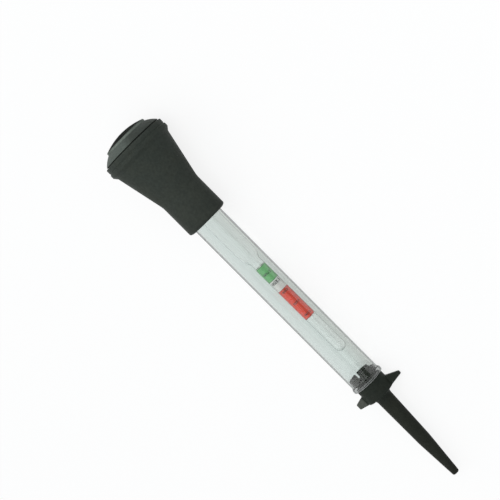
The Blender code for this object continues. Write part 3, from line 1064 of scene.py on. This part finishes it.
def make_floor():
    """Plain pale sweep that shows white and keeps the tool's shadow."""
    deselect()
    bpy.ops.mesh.primitive_plane_add(size=6)
    floor = bpy.context.object
    floor.name = "floor"
    material, tree = new_material("floor_paper")
    lit = add(tree, "ShaderNodeBsdfDiffuse", {"Color": linear("#7A7B7B")})
    glow = add(tree, "ShaderNodeEmission", {"Color": linear("#FFFFFF"), "Strength": 1.0})
    # White where it is seen, and enough light thrown back to fill the tool's lower side
    thrown, shown = 0.18, 0.84
    share = add(
        tree,
        "ShaderNodeMath",
        {0: seen_rays(tree), 1: shown - thrown, 2: thrown},
        operation="MULTIPLY_ADD",
    )
    dark = add(tree, "ShaderNodeEmission", {"Color": linear("#000000")})
    white = add(
        tree,
        "ShaderNodeMixShader",
        {0: share.outputs[0], 1: dark.outputs["Emission"], 2: glow.outputs["Emission"]},
    )
    both = add(tree, "ShaderNodeAddShader", {0: lit.outputs["BSDF"], 1: white.outputs["Shader"]})
    add(tree, "ShaderNodeOutputMaterial", {"Surface": both.outputs["Shader"]})
    floor.data.materials.append(material)


def make_world():
    """Even studio light: white all round, with a grey side behind the camera."""
    world = bpy.data.worlds.new("studio")
    bpy.context.scene.world = world
    world.use_nodes = True
    tree = world.node_tree
    tree.nodes.clear()
    # Gloss and glass mirror the grey side of the room, 35 degrees up
    way = add(tree, "ShaderNodeTexCoord")
    rise = math.radians(35)
    closeness = add(
        tree,
        "ShaderNodeVectorMath",
        {0: way.outputs["Generated"], 1: (0, -math.cos(rise), math.sin(rise))},
        operation="DOT_PRODUCT",
    )
    grey_side = add(
        tree,
        "ShaderNodeMapRange",
        {"Value": closeness.outputs["Value"], "From Min": 0.5, "From Max": 0.97},
        interpolation_type="SMOOTHSTEP",
    )
    rays = add(tree, "ShaderNodeLightPath")
    mirrored = add(
        tree, "ShaderNodeMath", {0: 1.0, 1: rays.outputs["Is Camera Ray"]}, operation="SUBTRACT"
    )
    seen = add(
        tree,
        "ShaderNodeMix",
        {
            "Factor": overlap(tree, grey_side.outputs["Result"], mirrored.outputs[0]),
            "A": linear("#FFFFFF"),
            "B": linear("#6C756E"),
        },
        data_type="RGBA",
    )
    white = add(tree, "ShaderNodeBackground", {"Color": seen.outputs["Result"], "Strength": 1.0})
    soft = add(tree, "ShaderNodeBackground", {"Color": linear("#F4F7FA"), "Strength": 0.36})
    mixed = add(
        tree,
        "ShaderNodeMixShader",
        {0: seen_rays(tree), 1: soft.outputs["Background"], 2: white.outputs["Background"]},
    )
    add(tree, "ShaderNodeOutputWorld", {"Surface": mixed.outputs["Shader"]})


def make_lamp(name, direction, distance, size, power):
    """A soft square lamp that looks at the tool, in metres and watts."""
    light = bpy.data.lights.new(name, "AREA")
    light.shape = "SQUARE"
    light.size = size
    light.energy = power
    lamp = bpy.data.objects.new(name, light)
    bpy.context.scene.collection.objects.link(lamp)
    away = Vector(direction).normalized()
    lamp.location = away * distance
    lamp.rotation_euler = away.to_track_quat("Z", "Y").to_euler()
    lamp.visible_glossy = False


def make_camera():
    """Square on to the barrel, and turned so that the tool lies across the picture."""
    spoutward = Vector((-1, 0, 0))
    back = FRONT_SIDE * math.cos(VIEW_PAN) - spoutward * math.sin(VIEW_PAN)
    level = spoutward * math.cos(VIEW_PAN) + FRONT_SIDE * math.sin(VIEW_PAN)
    across = level * math.cos(VIEW_ROLL) - UPPER_SIDE * math.sin(VIEW_ROLL)
    down = UPPER_SIDE * math.cos(VIEW_ROLL) + level * math.sin(VIEW_ROLL)
    right = (across - down) / math.sqrt(2)
    up = -(across + down) / math.sqrt(2)
    axes = Matrix((right, up, back)).transposed().to_4x4()
    place = Vector((VIEW_POINT, 0, 0)) + FRONT_SIDE * VIEW_DISTANCE - UPPER_SIDE * VIEW_DROP
    data = bpy.data.cameras.new("camera")
    data.sensor_fit = "HORIZONTAL"
    data.sensor_width = SENSOR_WIDTH
    data.lens = FOCAL_LENGTH
    data.clip_start = 0.01
    camera = bpy.data.objects.new("camera", data)
    bpy.context.scene.collection.objects.link(camera)
    camera.matrix_world = TOOL @ Matrix.Translation(place * MM) @ axes
    bpy.context.scene.camera = camera


def main():
    bpy.context.scene.view_settings.view_transform = "Standard"
    bulb_rubber = make_rubber(
        "moulded_nitrile_rubber_bulb",
        [
            (135.0, "#393E39"),
            (150.0, "#3E433E"),
            (190.0, "#3D433E"),
            (197.0, "#3E443F"),
            (198.4, "#454B46"),
            # A painted shade line in the groove behind the band
            (198.6, "#1C1F1C"),
            (199.1, "#1F221F"),
            # The shoulder is painted lighter, where light falls on it
            (199.5, "#4C524D"),
            (203.6, "#4C524D"),
            # A painted highlight line on the end's rim
            (204.1, "#7E877F"),
            (205.1, "#7E877F"),
            # The domed end is painted near black, a painted shade
            (205.35, "#1C1F1C"),
            (205.6, "#080908"),
            (209.0, "#080908"),
        ],
        bloom="#444841",
        roughness=0.56,
        # The shoulder's upper side is painted lighter: a painted sheen
        lighter_upper={"heights": (-2.0, 5.0), "lengths": (199.25, 203.8), "grey": "#666E68"},
        kept_place=UNFOLDED_PLACE,
    )
    nozzle_rubber = make_rubber(
        "moulded_nitrile_rubber_nozzle",
        [
            (-77.0, "#2B2D28"),
            (-18.0, "#2B2E29"),
            (-10.0, "#2C312C"),
            (0.2, "#2C312C"),
            # The cage, inside the barrel's end, is painted darker: a painted shade
            (1.2, "#171B14"),
            (8.0, "#191C14"),
        ],
        bloom="#33362F",
        roughness=0.52,
        lighter_upper={"heights": (9.9, 11.0), "lengths": (-12.0, 0.0), "grey": "#5C5F59"},
    )
    barrel_glass = make_glass(
        "drawn_tube_glass_barrel",
        TOOL,
        upper=("#E4EAE8", "#4E5451"),
        lower=("#D6DAD7", "#4E5451"),
        slant_range=(0.45, 0.62),
        outside=(9.7, 12.0),
        shade="#FCFDFC",
        bead=2.9,
        highlight_rings=((-0.1, 0.6, 0.5), (1.0, 2.0, 0.28)),
    )
    float_glass = make_glass(
        "blown_glass_float",
        FLOAT,
        upper=("#FFFFFF", "#C8CDC9"),
        lower=("#FFFFFF", "#C0C6C2"),
        slant_range=(0.42, 0.7),
        outside=(3.55, 4.6),
        shade="#FFFFFF",
        tip=-77.5,
    )
    paper = make_print("screen_printed_scale_paper")
    ink = make_ink("black_printing_ink", "#16171A", "#2C2D31")
    dark_green = make_ink("green_printing_ink", "#1F4A2C", "#2C6239")
    dark_red = make_ink("red_printing_ink", "#701A12", "#8C2A20")

    make_camera()
    make_floor()
    make_world()
    make_lamp("key", (0.2, -0.55, 1.0), distance=2.0, size=2.4, power=22.0)
    make_lamp("rear", (0.35, 0.8, 0.9), distance=1.8, size=2.0, power=6.0)

    make_barrel(barrel_glass)
    make_bulb(bulb_rubber)
    make_nozzle(nozzle_rubber)
    make_float(float_glass)
    make_scale(paper, ink, dark_green, dark_red)
    make_ballast(make_wax("poured_sealing_wax"), make_lead("dropped_lead_shot"))


main()
